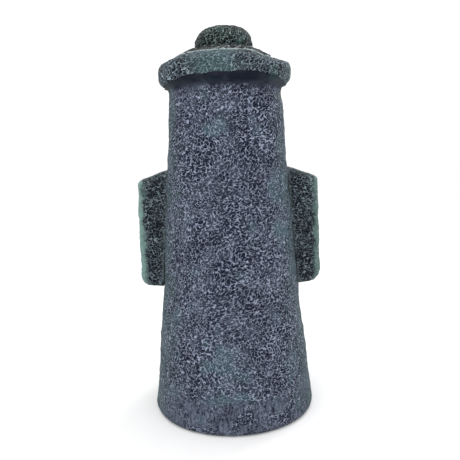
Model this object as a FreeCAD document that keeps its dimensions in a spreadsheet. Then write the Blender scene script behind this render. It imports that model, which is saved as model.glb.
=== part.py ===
"""A hatted guardian figure of cast stone, about 300 mm tall, built as a bench assembly.

The trunk is a hollow casting with the face carved in its front. A broad hat (mortar bed, brim, low crown
and round knob) is pinned to the head by one dowel. Each arm is a casting of its own, pegged to the trunk's
side. A plate closes the hollow from below and a felt disc covers the plate.

Frame: millimetres, +Z up, origin at the centre of the felt's underside, the face towards -Y.
The figure's left arm is on +X.
"""

import FreeCAD
import Part
import os
import Sketcher
from FreeCAD import Placement, Rotation, Vector

PARTS_FOLDER = "parts"
TOLERANCE = 1e-3
# How a sketch's constraints refer to its own origin and vertical axis, and to a line's start and end.
SKETCH_ORIGIN = -1
SKETCH_VERTICAL = -2
START, END = 1, 2
# Where a sketch's points stand until their constraints move them: evenly round a circle.
LOOSE_MIDDLE = Vector(100, 100, 0)
LOOSE_ARM = Vector(-50, -50, 0)
LOOSE_DISTANCE = 50.0

# Driving dimensions: (alias, value), in millimetres unless the alias ends in _angle or _span (degrees).
DIMENSIONS = [
    ("overall_height", 300.0),
    ("felt_radius", 61.0),
    ("felt_thickness", 1.2),
    # The trunk's outside: a radius and a height at each level where its taper changes.
    ("foot_radius", 65.8),
    ("foot_height", 1.2),
    ("foot_rounding", 1.8),
    ("skirt_radius", 61.5),
    ("skirt_height", 36.0),
    ("waist_radius", 57.0),
    ("waist_height", 76.0),
    ("chest_radius", 51.4),
    ("chest_height", 140.0),
    ("shoulder_radius", 47.3),
    ("shoulder_height", 192.0),
    ("jaw_radius", 45.9),
    ("jaw_height", 218.0),
    ("neck_radius", 43.1),
    ("neck_height", 250.5),
    # The trunk's hollow.
    ("wall_thickness", 9.0),
    ("foot_wall_thickness", 11.0),
    ("head_deck_thickness", 18.5),
    ("plate_radius", 57.5),
    ("plate_thickness", 7.0),
    # The hat.
    ("dowel_radius", 6.0),
    ("dowel_depth_in_head", 12.0),
    ("dowel_depth_in_knob", 9.5),
    ("bed_thickness", 5.5),
    ("bed_top_radius", 46.5),
    ("brim_radius", 51.0),
    ("brim_side_height", 15.3),
    ("brim_thickness", 21.8),
    ("brim_lower_rounding", 6.5),
    ("brim_upper_rounding", 6.5),
    ("crown_radius", 36.4),
    ("crown_recess", 2.0),
    ("crown_step", 0.4),
    ("crown_slope_height", 5.8),
    ("crown_top_radius", 24.0),
    ("knob_radius", 22.0),
    ("knob_rounding", 13.2),
    ("knob_foot_radius", 20.6),
    ("knob_foot_height", 2.2),
    # The face. A ring radius is the distance of a feature's centre from the trunk's axis.
    ("brow_ring", 41.4),
    ("brow_height", 240.0),
    ("brow_thickness", 6.8),
    ("brow_span", 96.0),
    ("eye_angle", 22.5),
    ("eye_height", 227.0),
    ("socket_ring", 47.4),
    ("socket_width", 13.6),
    ("socket_rise", 9.2),
    ("socket_depth", 7.0),
    ("lid_ring", 38.6),
    ("lid_width", 11.4),
    ("lid_rise", 7.9),
    ("lid_depth", 6.8),
    ("eyeball_ring", 40.4),
    ("eyeball_width", 8.4),
    ("eyeball_rise", 5.3),
    ("eyeball_depth", 6.6),
    ("bridge_ring", 42.6),
    ("bridge_height", 227.0),
    ("bridge_width", 5.6),
    ("bridge_rise", 17.0),
    ("bridge_depth", 8.0),
    ("nose_ring", 46.4),
    ("nose_height", 215.0),
    ("nose_width", 8.0),
    ("nose_rise", 7.4),
    ("nose_depth", 9.4),
    ("nostril_angle", 11.5),
    ("nostril_ring", 44.8),
    ("nostril_height", 213.2),
    ("nostril_size", 5.8),
    ("cheek_angle", 33.0),
    ("cheek_ring", 40.6),
    ("cheek_height", 208.0),
    ("cheek_width", 12.0),
    ("cheek_rise", 10.0),
    ("cheek_depth", 7.6),
    ("mouth_ring", 52.6),
    ("mouth_height", 200.0),
    ("mouth_width", 22.0),
    ("mouth_rise", 9.6),
    ("mouth_depth", 8.6),
    ("upper_lip_angle", 9.0),
    ("upper_lip_ring", 43.8),
    ("upper_lip_height", 203.4),
    ("upper_lip_width", 11.0),
    ("upper_lip_rise", 3.6),
    ("upper_lip_depth", 5.8),
    ("lower_lip_ring", 43.4),
    ("lower_lip_height", 196.6),
    ("lower_lip_width", 13.6),
    ("lower_lip_rise", 4.2),
    ("lower_lip_depth", 6.8),
    ("chin_ring", 43.4),
    ("chin_height", 188.6),
    ("chin_width", 16.0),
    ("chin_rise", 6.4),
    ("chin_depth", 7.8),
    ("throat_ring", 51.4),
    ("throat_height", 180.0),
    ("throat_thickness", 5.6),
    ("throat_span", 112.0),
    ("ear_angle", 66.0),
    ("ear_height", 221.0),
    ("ear_ring", 42.2),
    ("ear_width", 6.2),
    ("ear_rise", 15.0),
    ("ear_depth", 5.4),
    ("ear_hollow_ring", 48.6),
    ("ear_hollow_width", 3.0),
    ("ear_hollow_rise", 9.0),
    ("ear_hollow_depth", 3.2),
    # The chest and belly.
    ("breast_angle", 20.0),
    ("breast_ring", 42.6),
    ("breast_height", 158.0),
    ("breast_width", 19.0),
    ("breast_rise", 14.0),
    ("breast_depth", 9.2),
    ("belly_ring", 30.0),
    ("belly_height", 106.0),
    ("belly_width", 36.0),
    ("belly_rise", 40.0),
    ("belly_depth", 29.0),
    ("navel_ring", 59.6),
    ("navel_height", 88.0),
    ("navel_size", 3.4),
    # The arms. The upper arm is a slab whose back face stands just behind the trunk's axis.
    ("arm_inner_reach", 38.0),
    ("arm_root_reach", 46.0),
    ("arm_top_reach", 71.8),
    ("arm_elbow_reach", 73.4),
    ("arm_underside_height", 95.5),
    ("arm_elbow_height", 100.4),
    ("arm_root_height", 193.8),
    ("arm_top_height", 184.8),
    ("arm_back", 4.0),
    ("arm_depth", 34.0),
    ("elbow_rounding", 9.0),
    ("shoulder_rounding", 3.6),
    ("arm_back_rounding", 4.0),
    ("arm_front_rounding", 9.0),
    ("forearm_ring", 54.4),
    ("forearm_height", 112.0),
    ("forearm_thickness", 12.6),
    ("forearm_start_angle", 30.0),
    ("forearm_span", 52.0),
    ("palm_ring", 51.2),
    ("palm_thickness", 13.4),
    ("palm_start_angle", 17.0),
    ("palm_span", 16.0),
    ("finger_ring", 59.0),
    ("finger_thickness", 3.9),
    ("finger_pitch", 6.9),
    ("finger_start_angle", 4.5),
    ("finger_end_angle", 28.0),
    ("thumb_angle", 19.0),
    ("thumb_ring", 57.4),
    ("thumb_height", 128.4),
    ("thumb_width", 10.0),
    ("thumb_rise", 4.0),
    ("thumb_depth", 4.8),
    # The pegs that hold each arm.
    ("peg_radius", 4.0),
    ("peg_length", 18.0),
    ("peg_setback", 12.0),
    ("lower_peg_start", 44.5),
    ("lower_peg_height", 128.0),
    ("upper_peg_start", 41.0),
    ("upper_peg_height", 166.0),
]

SIDES = (("left", 1), ("right", -1))
TRUNK_LEVELS = ("foot", "skirt", "waist", "chest", "shoulder", "jaw", "neck")
# Each finger: its step up from the middle of the hand, and how many degrees it falls short of the longest.
FINGERS = ((-1.5, 4.0), (-0.5, 1.0), (0.5, 0.0), (1.5, 2.0))
# Heights that follow from the stack of the hat's pieces.
BRIM_FOOT = "(Dims.neck_height + Dims.bed_thickness)"
BRIM_SHOULDER = f"({BRIM_FOOT} + Dims.brim_side_height)"
BRIM_TOP = f"({BRIM_FOOT} + Dims.brim_thickness)"
CROWN_FOOT = f"({BRIM_TOP} - Dims.crown_recess)"
CROWN_SHOULDER = f"({BRIM_TOP} + Dims.crown_step)"
KNOB_FOOT = f"({CROWN_SHOULDER} + Dims.crown_slope_height)"


def make_dimensions(doc):
    """Writes every driving dimension to a spreadsheet cell with an alias."""
    sheet = doc.addObject("Spreadsheet::Sheet", "Dims")
    for row, (alias, value) in enumerate(DIMENSIONS, start=1):
        cell = f"A{row}"
        sheet.set(cell, str(value))
        sheet.setAlias(cell, alias)
    doc.recompute()
    return sheet


def bind(thing, **expressions):
    """Ties properties of an object to expressions over the sheet's aliases."""
    for name, expression in expressions.items():
        thing.setExpression(name, expression)
    return thing


def place(thing, x=None, y=None, z=None, turn=None):
    """Ties an object's position and its turn about Z to expressions."""
    for axis, expression in (("x", x), ("y", y), ("z", z)):
        if expression is not None:
            thing.setExpression(f"Placement.Base.{axis}", expression)
    if turn is not None:
        thing.setExpression("Placement.Rotation.Angle", turn)
    return thing


def place_on_ring(thing, ring, height, angle):
    """Stands an object on a ring about the trunk's axis; angle 0 is the front and positive goes to +X."""
    return place(
        thing,
        x=f"({ring}) * sin({angle})",
        y=f"-({ring}) * cos({angle})",
        z=height,
        turn=angle,
    )


def cylinder(doc, name, radius, height, z):
    """An upright cylinder whose foot is at z."""
    return place(
        bind(doc.addObject("Part::Cylinder", name), Radius=radius, Height=height), z=z
    )


def ellipsoid(doc, name, feature, angle="0", height=None):
    """An ellipsoid on a ring, sized by the feature's _width, _rise and _depth cells."""
    lump = bind(
        doc.addObject("Part::Ellipsoid", name),
        Radius1=f"Dims.{feature}_rise",
        Radius2=f"Dims.{feature}_width",
        Radius3=f"Dims.{feature}_depth",
    )
    level = height or f"Dims.{feature}_height"
    return place_on_ring(lump, f"Dims.{feature}_ring", level, angle)


def ring_segment(doc, name, feature, start, span, height=None):
    """A stretch of a round bar bent about the trunk's axis, from the start angle over the span."""
    bar = bind(
        doc.addObject("Part::Torus", name),
        Radius1=f"Dims.{feature}_ring",
        Radius2=f"Dims.{feature}_thickness",
        Angle3=span,
    )
    return place(bar, z=height or f"Dims.{feature}_height", turn=f"-90 + ({start})")


def ball(doc, name, size, ring, height, angle):
    """A sphere on a ring."""
    return place_on_ring(
        bind(doc.addObject("Part::Sphere", name), Radius=size), ring, height, angle
    )


def round_ended_bar(doc, feature):
    """A bent round bar across the middle of the face, with a ball at each end."""
    ring, level = f"Dims.{feature}_ring", f"Dims.{feature}_height"
    size, half = f"Dims.{feature}_thickness", f"Dims.{feature}_span / 2"
    bar = ring_segment(doc, feature, feature, f"-{half}", f"Dims.{feature}_span")
    ends = [
        ball(doc, f"{feature}_{side}_end", size, ring, level, f"{sign} * {half}")
        for side, sign in SIDES
    ]
    return [bar, *ends]


def pair_of_ellipsoids(doc, feature, angle, height=None):
    """A pair of ellipsoids, one at each side of the front."""
    return [
        ellipsoid(doc, f"{side}_{feature}", feature, f"{sign} * Dims.{angle}", height)
        for side, sign in SIDES
    ]


def fuse(doc, name, shapes):
    """One solid made of several overlapping shapes."""
    joined = doc.addObject("Part::MultiFuse", name)
    joined.Shapes = shapes
    joined.Refine = False
    return joined


def cut(doc, name, base, tool):
    """The base with the tool's space removed."""
    result = doc.addObject("Part::Cut", name)
    result.Base = base
    result.Tool = tool
    result.Refine = False
    return result


def origin_plane(body, role):
    """One of the body's own origin planes."""
    return next(plane for plane in body.Origin.OriginFeatures if plane.Role == role)


def profile_sketch(body, name, points):
    """A closed outline on the body's XZ plane; each point is a pair of expressions, or None on the axis."""
    sketch = body.newObject("Sketcher::SketchObject", name)
    sketch.AttachmentSupport = (origin_plane(body, "XZ_Plane"), "")
    sketch.MapMode = "FlatFace"
    count = len(points)
    turns = [Rotation(Vector(0, 0, 1), 360.0 * index / count) for index in range(count + 1)]
    loose = [LOOSE_MIDDLE + turn.multVec(LOOSE_ARM) for turn in turns]
    for start, end in zip(loose, loose[1:]):
        sketch.addGeometry(Part.LineSegment(start, end))
    for index in range(count):
        following = (index + 1) % count
        sketch.addConstraint(
            Sketcher.Constraint("Coincident", index, END, following, START)
        )
    for index, (across, up) in enumerate(points):
        if across is None:
            sketch.addConstraint(
                Sketcher.Constraint("PointOnObject", index, START, SKETCH_VERTICAL)
            )
        else:
            tie_coordinate(sketch, "DistanceX", index, across)
        tie_coordinate(sketch, "DistanceY", index, up)
    return sketch


def tie_coordinate(sketch, kind, index, expression):
    """Ties one coordinate of a sketch point, measured from the sketch's origin, to an expression."""
    number = sketch.addConstraint(
        Sketcher.Constraint(kind, SKETCH_ORIGIN, START, index, START, LOOSE_DISTANCE)
    )
    sketch.setExpression(f"Constraints[{number}]", expression)


def turned_body(doc, name, points):
    """A body turned about Z from a closed outline."""
    body = doc.addObject("PartDesign::Body", name)
    sketch = profile_sketch(body, f"{name}_outline", points)
    doc.recompute()
    turned = body.newObject("PartDesign::Revolution", f"{name}_turned")
    turned.Profile = sketch
    turned.ReferenceAxis = (sketch, ["V_Axis"])
    turned.Angle = 360.0
    doc.recompute()
    return body


def round_edges(doc, body, name, chosen, radius):
    """A fillet on the body's edges for which chosen(edge) is true."""
    base = body.Tip
    names = [
        f"Edge{number}"
        for number, edge in enumerate(base.Shape.Edges, start=1)
        if chosen(edge)
    ]
    fillet = body.newObject("PartDesign::Fillet", name)
    fillet.Base = (base, names)
    fillet.setExpression("Radius", radius)
    doc.recompute()
    return fillet


def is_rim(radius, height):
    """A test for a level circle of a given radius and height."""

    def test(edge):
        curve = edge.Curve
        return (
            isinstance(curve, Part.Circle)
            and abs(curve.Radius - radius) < TOLERANCE
            and abs(curve.Center.z - height) < TOLERANCE
        )

    return test


def make_trunk_blank(doc, sheet):
    """The trunk's outside before carving: a tapered round column turned through its levels."""
    levels = [(f"Dims.{level}_radius", f"Dims.{level}_height") for level in TRUNK_LEVELS]
    body = turned_body(
        doc,
        "trunk_blank",
        [(None, "Dims.foot_height"), *levels, (None, "Dims.neck_height")],
    )
    foot = is_rim(sheet.foot_radius, sheet.foot_height)
    round_edges(doc, body, "foot_edge", foot, "Dims.foot_rounding")
    return body


def make_carved_column(doc, blank):
    """The column with the face, chest and belly carved in its front."""
    chest = pair_of_ellipsoids(doc, "breast", "breast_angle")
    torso = fuse(doc, "torso", [blank, *chest, ellipsoid(doc, "belly", "belly")])
    sockets = pair_of_ellipsoids(doc, "socket", "eye_angle", "Dims.eye_height")
    mouth = ellipsoid(doc, "mouth_hollow", "mouth")
    throat = ring_segment(
        doc, "throat_groove", "throat", "-Dims.throat_span / 2", "Dims.throat_span"
    )
    navel = ball(
        doc, "navel", "Dims.navel_size", "Dims.navel_ring", "Dims.navel_height", "0"
    )
    hollows = fuse(doc, "front_hollows", [*sockets, mouth, throat, navel])
    hollowed = cut(doc, "hollowed_column", torso, hollows)
    nostrils = []
    for side, sign in SIDES:
        angle = f"{sign} * Dims.nostril_angle"
        ring, level = "Dims.nostril_ring", "Dims.nostril_height"
        nostrils.append(
            ball(doc, f"{side}_nostril", "Dims.nostril_size", ring, level, angle)
        )
    # The features go on one group at a time.
    groups = {
        "front_with_eyelids": pair_of_ellipsoids(
            doc, "lid", "eye_angle", "Dims.eye_height"
        ),
        "front_with_eyes": pair_of_ellipsoids(
            doc, "eyeball", "eye_angle", "Dims.eye_height"
        ),
        "front_with_cheeks": pair_of_ellipsoids(doc, "cheek", "cheek_angle"),
        "front_with_ears": pair_of_ellipsoids(doc, "ear", "ear_angle"),
        "front_with_nose_tip": [ellipsoid(doc, "nose_tip", "nose")],
        "front_with_nose_bridge": [ellipsoid(doc, "nose_bridge", "bridge")],
        "front_with_nostrils": nostrils,
        "front_with_chin": [ellipsoid(doc, "chin", "chin")],
        "front_with_upper_lip": pair_of_ellipsoids(
            doc, "upper_lip", "upper_lip_angle"
        ),
        "front_with_lower_lip": [ellipsoid(doc, "lower_lip", "lower_lip")],
        "front_with_brow": round_ended_bar(doc, "brow"),
    }
    front = hollowed
    for name, lumps in groups.items():
        front = fuse(doc, name, [front, *lumps])
    ears = pair_of_ellipsoids(doc, "ear_hollow", "ear_angle", "Dims.ear_height")
    return cut(doc, "carved_column", front, fuse(doc, "ear_hollows", ears))


def make_pegs(doc):
    """Two pegs that hold the left arm, lying along X."""
    pegs = []
    for level in ("lower", "upper"):
        peg = bind(
            doc.addObject("Part::Cylinder", f"{level}_peg"),
            Radius="Dims.peg_radius",
            Height="Dims.peg_length",
        )
        peg.Placement = Placement(Vector(0, 0, 0), Rotation(Vector(0, 1, 0), 90))
        place(
            peg,
            x=f"Dims.{level}_peg_start",
            y="-Dims.peg_setback",
            z=f"Dims.{level}_peg_height",
        )
        pegs.append(peg)
    pair = doc.addObject("Part::Compound", "left_arm_pegs")
    pair.Links = pegs
    return pair


def mirrored(doc, name, source):
    """The source reflected to the figure's other side."""
    mirror = doc.addObject("Part::Mirroring", name)
    mirror.Source = source
    mirror.Normal = Vector(1, 0, 0)
    return mirror


def make_arm_slab(doc):
    """The upper arm: a slab with a sloping shoulder, padded forward from its back face."""
    body = doc.addObject("PartDesign::Body", "arm_slab")
    outline = [
        ("Dims.arm_inner_reach", "Dims.arm_underside_height"),
        ("Dims.arm_elbow_reach", "Dims.arm_elbow_height"),
        ("Dims.arm_top_reach", "Dims.arm_top_height"),
        ("Dims.arm_root_reach", "Dims.arm_root_height"),
        ("Dims.arm_inner_reach", "Dims.arm_root_height"),
    ]
    sketch = profile_sketch(body, "arm_outline", outline)
    sketch.setExpression("AttachmentOffset.Base.z", "-Dims.arm_back")
    doc.recompute()
    pad = body.newObject("PartDesign::Pad", "arm_pad")
    pad.Profile = sketch
    pad.setExpression("Length", "Dims.arm_depth")
    doc.recompute()
    return body


def round_arm_slab(doc, body, sheet):
    """Rounds the slab's elbow and shoulder corners, then its back and front outlines."""
    back = sheet.arm_back
    front = sheet.arm_back - sheet.arm_depth
    middle_y = (back + front) / 2

    def corner(reach, height):
        centre = Vector(reach, middle_y, height)
        return lambda edge: (edge.CenterOfMass - centre).Length < TOLERANCE

    def outline(depth):
        return lambda edge: (
            abs(edge.BoundBox.YMin - depth) < TOLERANCE
            and abs(edge.BoundBox.YMax - depth) < TOLERANCE
            and edge.CenterOfMass.x > sheet.arm_root_reach
        )

    elbow = corner(sheet.arm_elbow_reach, sheet.arm_elbow_height)
    shoulder = corner(sheet.arm_top_reach, sheet.arm_top_height)
    round_edges(doc, body, "elbow_corner", elbow, "Dims.elbow_rounding")
    round_edges(doc, body, "shoulder_corner", shoulder, "Dims.shoulder_rounding")
    round_edges(doc, body, "back_edges", outline(back), "Dims.arm_back_rounding")
    round_edges(doc, body, "front_edges", outline(front), "Dims.arm_front_rounding")
    return body


def make_left_arm(doc, sheet, column, pegs):
    """The left arm, bedded on the trunk: the slab, a forearm bent round it and a hand on the belly."""
    slab = round_arm_slab(doc, make_arm_slab(doc), sheet)
    forearm = ring_segment(
        doc, "forearm", "forearm", "Dims.forearm_start_angle", "Dims.forearm_span"
    )
    palm = ring_segment(
        doc, "palm", "palm", "Dims.palm_start_angle", "Dims.palm_span", "Dims.forearm_height"
    )
    thumb = ellipsoid(doc, "thumb", "thumb", "Dims.thumb_angle")
    size, ring = "Dims.finger_thickness", "Dims.finger_ring"
    fingers = []
    for number, (step, shortfall) in enumerate(FINGERS, start=1):
        level = f"Dims.forearm_height + ({step}) * Dims.finger_pitch"
        start = f"(Dims.finger_start_angle + {shortfall})"
        span = f"Dims.finger_end_angle - {start}"
        finger = ring_segment(
            doc, f"finger_{number}", "finger", start, span, height=level
        )
        tip = ball(doc, f"fingertip_{number}", size, ring, level, start)
        fingers += [finger, tip]
    whole = fuse(doc, "arm_blank", [slab, forearm, palm, thumb, *fingers])
    bedded = cut(doc, "bedded_arm", whole, column)
    return cut(doc, "left_arm", bedded, pegs)


def make_dowel(doc):
    """The dowel that pins the hat: it starts in the head and ends in the knob."""
    return cylinder(
        doc,
        "hat_dowel",
        "Dims.dowel_radius",
        f"{KNOB_FOOT} + Dims.dowel_depth_in_knob - Dims.neck_height + Dims.dowel_depth_in_head",
        "Dims.neck_height - Dims.dowel_depth_in_head",
    )


def make_trunk_shell(doc, column, pegs, mirrored_pegs, dowel):
    """The carved column with its hollow, the plate's seat and the sockets for dowel and pegs."""
    plate_top = "Dims.foot_height + Dims.plate_thickness"
    hollow = doc.addObject("Part::Cone", "trunk_hollow")
    bind(
        hollow,
        Radius1="Dims.foot_radius - Dims.foot_wall_thickness",
        Radius2="Dims.neck_radius - Dims.wall_thickness",
        Height=f"Dims.neck_height - Dims.head_deck_thickness - ({plate_top})",
    )
    place(hollow, z=plate_top)
    seat = cylinder(doc, "plate_seat", "Dims.plate_radius", plate_top, "0")
    cavity = fuse(doc, "trunk_cavity", [hollow, seat])
    voids = fuse(doc, "trunk_voids", [cavity, pegs, mirrored_pegs, dowel])
    return cut(doc, "trunk_shell", column, voids)


def make_hat(doc, sheet):
    """The hat's four stacked pieces, each bored for the dowel."""
    bore = "Dims.dowel_radius"
    turned_body(
        doc,
        "hat_bed",
        [
            (bore, "Dims.neck_height"),
            ("Dims.neck_radius", "Dims.neck_height"),
            ("Dims.bed_top_radius", BRIM_FOOT),
            (bore, BRIM_FOOT),
        ],
    )
    brim = turned_body(
        doc,
        "hat_brim",
        [
            (bore, BRIM_FOOT),
            ("Dims.brim_radius", BRIM_FOOT),
            ("Dims.brim_radius", BRIM_SHOULDER),
            ("Dims.crown_radius", BRIM_TOP),
            ("Dims.crown_radius", CROWN_FOOT),
            (bore, CROWN_FOOT),
        ],
    )
    brim_foot = sheet.neck_height + sheet.bed_thickness
    lower = is_rim(sheet.brim_radius, brim_foot)
    upper = is_rim(sheet.brim_radius, brim_foot + sheet.brim_side_height)
    round_edges(doc, brim, "brim_lower_edge", lower, "Dims.brim_lower_rounding")
    round_edges(doc, brim, "brim_upper_edge", upper, "Dims.brim_upper_rounding")
    turned_body(
        doc,
        "hat_crown",
        [
            (bore, CROWN_FOOT),
            ("Dims.crown_radius", CROWN_FOOT),
            ("Dims.crown_radius", CROWN_SHOULDER),
            ("Dims.crown_top_radius", KNOB_FOOT),
            (bore, KNOB_FOOT),
        ],
    )
    knob_waist = f"({KNOB_FOOT} + Dims.knob_foot_height)"
    bore_end = f"({KNOB_FOOT} + Dims.dowel_depth_in_knob)"
    knob = turned_body(
        doc,
        "hat_knob",
        [
            (bore, KNOB_FOOT),
            ("Dims.knob_foot_radius", KNOB_FOOT),
            ("Dims.knob_radius", knob_waist),
            ("Dims.knob_radius", "Dims.overall_height"),
            (None, "Dims.overall_height"),
            (None, bore_end),
            (bore, bore_end),
        ],
    )
    top = is_rim(sheet.knob_radius, sheet.overall_height)
    round_edges(doc, knob, "knob_dome", top, "Dims.knob_rounding")


def make_base(doc):
    """The plate that closes the hollow and the felt disc that the figure stands on."""
    cylinder(doc, "base_plate", "Dims.plate_radius", "Dims.plate_thickness", "Dims.foot_height")
    cylinder(doc, "base_felt", "Dims.felt_radius", "Dims.felt_thickness", "0")


def check(doc, nodes):
    """Stops the macro if any feature failed or any sub-part is not a sound solid."""
    failed = [o.Name for o in doc.Objects if {"Invalid", "Error"} & set(o.State)]
    if failed:
        raise RuntimeError(f"features failed: {failed}")
    for name in nodes:
        shape = doc.getObject(name).Shape
        if shape.isNull() or not shape.isValid() or shape.Volume < TOLERANCE:
            raise RuntimeError(f"{name} is not a sound solid")


def main():
    doc = FreeCAD.newDocument("guardian_figure")
    sheet = make_dimensions(doc)
    blank = make_trunk_blank(doc, sheet)
    column = make_carved_column(doc, blank)
    pegs = make_pegs(doc)
    mirrored_pegs = mirrored(doc, "right_arm_pegs", pegs)
    dowel = make_dowel(doc)
    arm = make_left_arm(doc, sheet, column, pegs)
    mirrored(doc, "right_arm", arm)
    make_trunk_shell(doc, column, pegs, mirrored_pegs, dowel)
    make_hat(doc, sheet)
    make_base(doc)
    doc.recompute()
    nodes = [
        "trunk_shell",
        "base_plate",
        "base_felt",
        "hat_bed",
        "hat_brim",
        "hat_crown",
        "hat_knob",
        "hat_dowel",
        "left_arm",
        "right_arm",
        "left_arm_pegs",
        "right_arm_pegs",
    ]
    check(doc, nodes)
    os.makedirs(PARTS_FOLDER, exist_ok=True)
    for name in nodes:
        shape = doc.getObject(name).Shape
        shape.exportStep(os.path.join(PARTS_FOLDER, f"{name}.step"))
        print(f"{name}: {len(shape.Solids)} solid(s), {shape.Volume / 1000:.1f} cm3")


main()
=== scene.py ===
"""The guardian figure's finished look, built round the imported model's own frame.

Metres, +Z up. The figure faces -Y and the camera looks at its back, from +Y. An angle round the trunk is
0 at the front and grows towards +X. The skins are woven as rings about the trunk's axis: the trunk's rings
are measured on the CAD trunk itself, and the hat's follow profiles worked out from the CAD nodes' boxes.
"""

import math

import bmesh
import bpy
import numpy as np
from mathutils import Matrix, Vector, noise
from mathutils.bvhtree import BVHTree


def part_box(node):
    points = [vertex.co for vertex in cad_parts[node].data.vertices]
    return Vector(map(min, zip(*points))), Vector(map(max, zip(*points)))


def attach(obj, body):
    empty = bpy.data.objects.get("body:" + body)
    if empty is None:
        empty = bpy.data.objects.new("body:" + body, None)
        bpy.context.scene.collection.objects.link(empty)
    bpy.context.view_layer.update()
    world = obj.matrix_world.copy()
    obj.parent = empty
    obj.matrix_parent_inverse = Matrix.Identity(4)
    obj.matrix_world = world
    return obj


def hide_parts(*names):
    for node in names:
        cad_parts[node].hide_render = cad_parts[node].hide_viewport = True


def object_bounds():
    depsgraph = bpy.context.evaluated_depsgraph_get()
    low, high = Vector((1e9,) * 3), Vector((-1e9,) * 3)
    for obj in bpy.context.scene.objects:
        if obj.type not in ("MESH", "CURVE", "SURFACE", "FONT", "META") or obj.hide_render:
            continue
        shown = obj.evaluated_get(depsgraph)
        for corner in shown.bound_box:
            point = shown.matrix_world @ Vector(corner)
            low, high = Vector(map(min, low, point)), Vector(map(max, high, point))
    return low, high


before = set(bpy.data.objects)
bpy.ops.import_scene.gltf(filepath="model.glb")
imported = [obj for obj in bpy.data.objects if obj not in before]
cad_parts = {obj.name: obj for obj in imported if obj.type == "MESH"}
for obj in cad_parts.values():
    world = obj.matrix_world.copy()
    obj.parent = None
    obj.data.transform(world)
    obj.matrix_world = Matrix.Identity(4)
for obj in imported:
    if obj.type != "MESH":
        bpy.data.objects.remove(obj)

CAD_LOW, CAD_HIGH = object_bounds()
MM = 0.001

# Where the camera stands: its distance behind the axis, its height, its step aside, and its two tilts.
CAMERA_DISTANCE = 0.420
CAMERA_HEIGHT = 0.2076
CAMERA_SIDESTEP = -0.0006
CAMERA_PITCH = math.radians(8.7)
CAMERA_ROLL = math.radians(-1.8)
CAMERA_LENS = 41.0

# How finely the pieces are woven: points in a ring, the step between rings, and the arms' remeshing.
TRUNK_COLUMNS = 400
TRUNK_ROW_STEP = 1.05 * MM
HAT_COLUMNS = 320
HAT_STEP = 0.85 * MM
FELT_STEP = 2.0 * MM
ARM_VOXEL = 0.7 * MM

# Measures of the hat and neck that the CAD nodes' boxes don't give.
BRIM_SIDE = 15.3 * MM
BRIM_ROUNDING = 6.5 * MM
BRIM_WORN = 2.6 * MM
CROWN_TOP = 24.0 * MM
CROWN_WORN = 1.2 * MM
KNOB_ROUNDING = 13.2 * MM
NECK_RADIUS = 43.1 * MM

# The carving on the trunk: angles from the front in degrees, and heights in millimetres.
EYE_ANGLE = 22.5
LID_HEIGHT = 228.6
BROW_HEIGHT = 241.5
MOUTH_HEIGHT = 200.2
LIP_HOLLOW_HEIGHT = 207.2
BREAST_HEIGHT = 158.0
EAR_ANGLE = 66.0
EAR_HEIGHT = 221.0
CHIN_HEIGHT = 188.0
FOOT_BAND_HEIGHT = 24.0

# The studio: half the floor's width, the surround's brightness, and each light's place, size and power.
FLOOR_HALF = 6.0
SURROUND = 1.08
LIGHTS = {
    "overhead": ((0.0, 0.3, 1.3), 1.2, 3.0),
    "side": ((0.7, 0.8, 0.6), 0.8, 1.6),
    "front": ((-0.6, -0.7, 0.75), 0.4, 3.0),
}


# ---------------------------------------------------------------- shape tools


def smooth_step(low, high, value):
    """0 below low, 1 above high, and a smooth ramp between them."""
    t = np.clip((value - low) / (high - low), 0.0, 1.0)
    return t * t * (3.0 - 2.0 * t)


def bump(value, middle, half_width):
    """A smooth hump of height 1 at the middle, which fades to nothing at the half width."""
    return 1.0 - smooth_step(0.0, half_width, np.abs(value - middle))


def lumps(points, size, seed):
    """Smooth noise from about -1 to 1 at each point. size is a lump's width; each use has its own seed."""
    shift = Vector((seed * 7.3, seed * 3.1, seed * 5.7))
    flat = points.reshape(-1, 3) / size
    values = [noise.noise(Vector(p) + shift) for p in flat]
    return np.array(values).reshape(points.shape[:-1]) * 1.8


def blurred(grid, steps):
    """A grid of numbers softened along its rows and its closed columns."""
    for _ in range(steps):
        around = (np.roll(grid, 1, 1) + np.roll(grid, -1, 1) + 2 * grid) / 4
        padded = np.vstack([around[:1], around, around[-1:]])
        grid = (padded[:-2] + padded[2:] + 2 * padded[1:-1]) / 4
    return grid


def ring_angles(columns):
    """The columns' angles round the trunk, from 0 at the front."""
    return np.arange(columns) * (2 * math.pi / columns)


def rings(radii, heights, columns):
    """Rings of points about the axis. radii is a row per ring, with one or all of its columns."""
    angle = ring_angles(columns)[None, :]
    radii = np.broadcast_to(radii, (len(heights), columns))
    up = np.broadcast_to(np.asarray(heights)[:, None], radii.shape)
    return np.stack([radii * np.sin(angle), -radii * np.cos(angle), up], axis=-1)


def ring_normals(points):
    """Unit normals of a woven grid, away from the axis on its outside."""
    along = np.gradient(points, axis=0)
    around = np.roll(points, -1, axis=1) - np.roll(points, 1, axis=1)
    normal = np.cross(around, along)
    length = np.linalg.norm(normal, axis=-1, keepdims=True)
    return normal / np.maximum(length, 1e-12)


def woven(name, points):
    """A closed skin from rings of points. The first and last rings each close to their own middle."""
    rows, columns = points.shape[:2]
    start, end = rows * columns, rows * columns + 1
    vertices = np.vstack(
        [points.reshape(-1, 3), points[0].mean(0)[None], points[-1].mean(0)[None]]
    )
    column = np.arange(columns)
    following = (column + 1) % columns
    row = np.arange(rows - 1)[:, None] * columns
    corners = (row + column, row + following, row + columns + following, row + columns + column)
    faces = np.stack(corners, axis=-1).reshape(-1, 4).tolist()
    last = (rows - 1) * columns
    faces += [[start, following[c], c] for c in range(columns)]
    faces += [[end, last + c, last + following[c]] for c in range(columns)]
    return mesh_object(name, vertices, faces)


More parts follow.
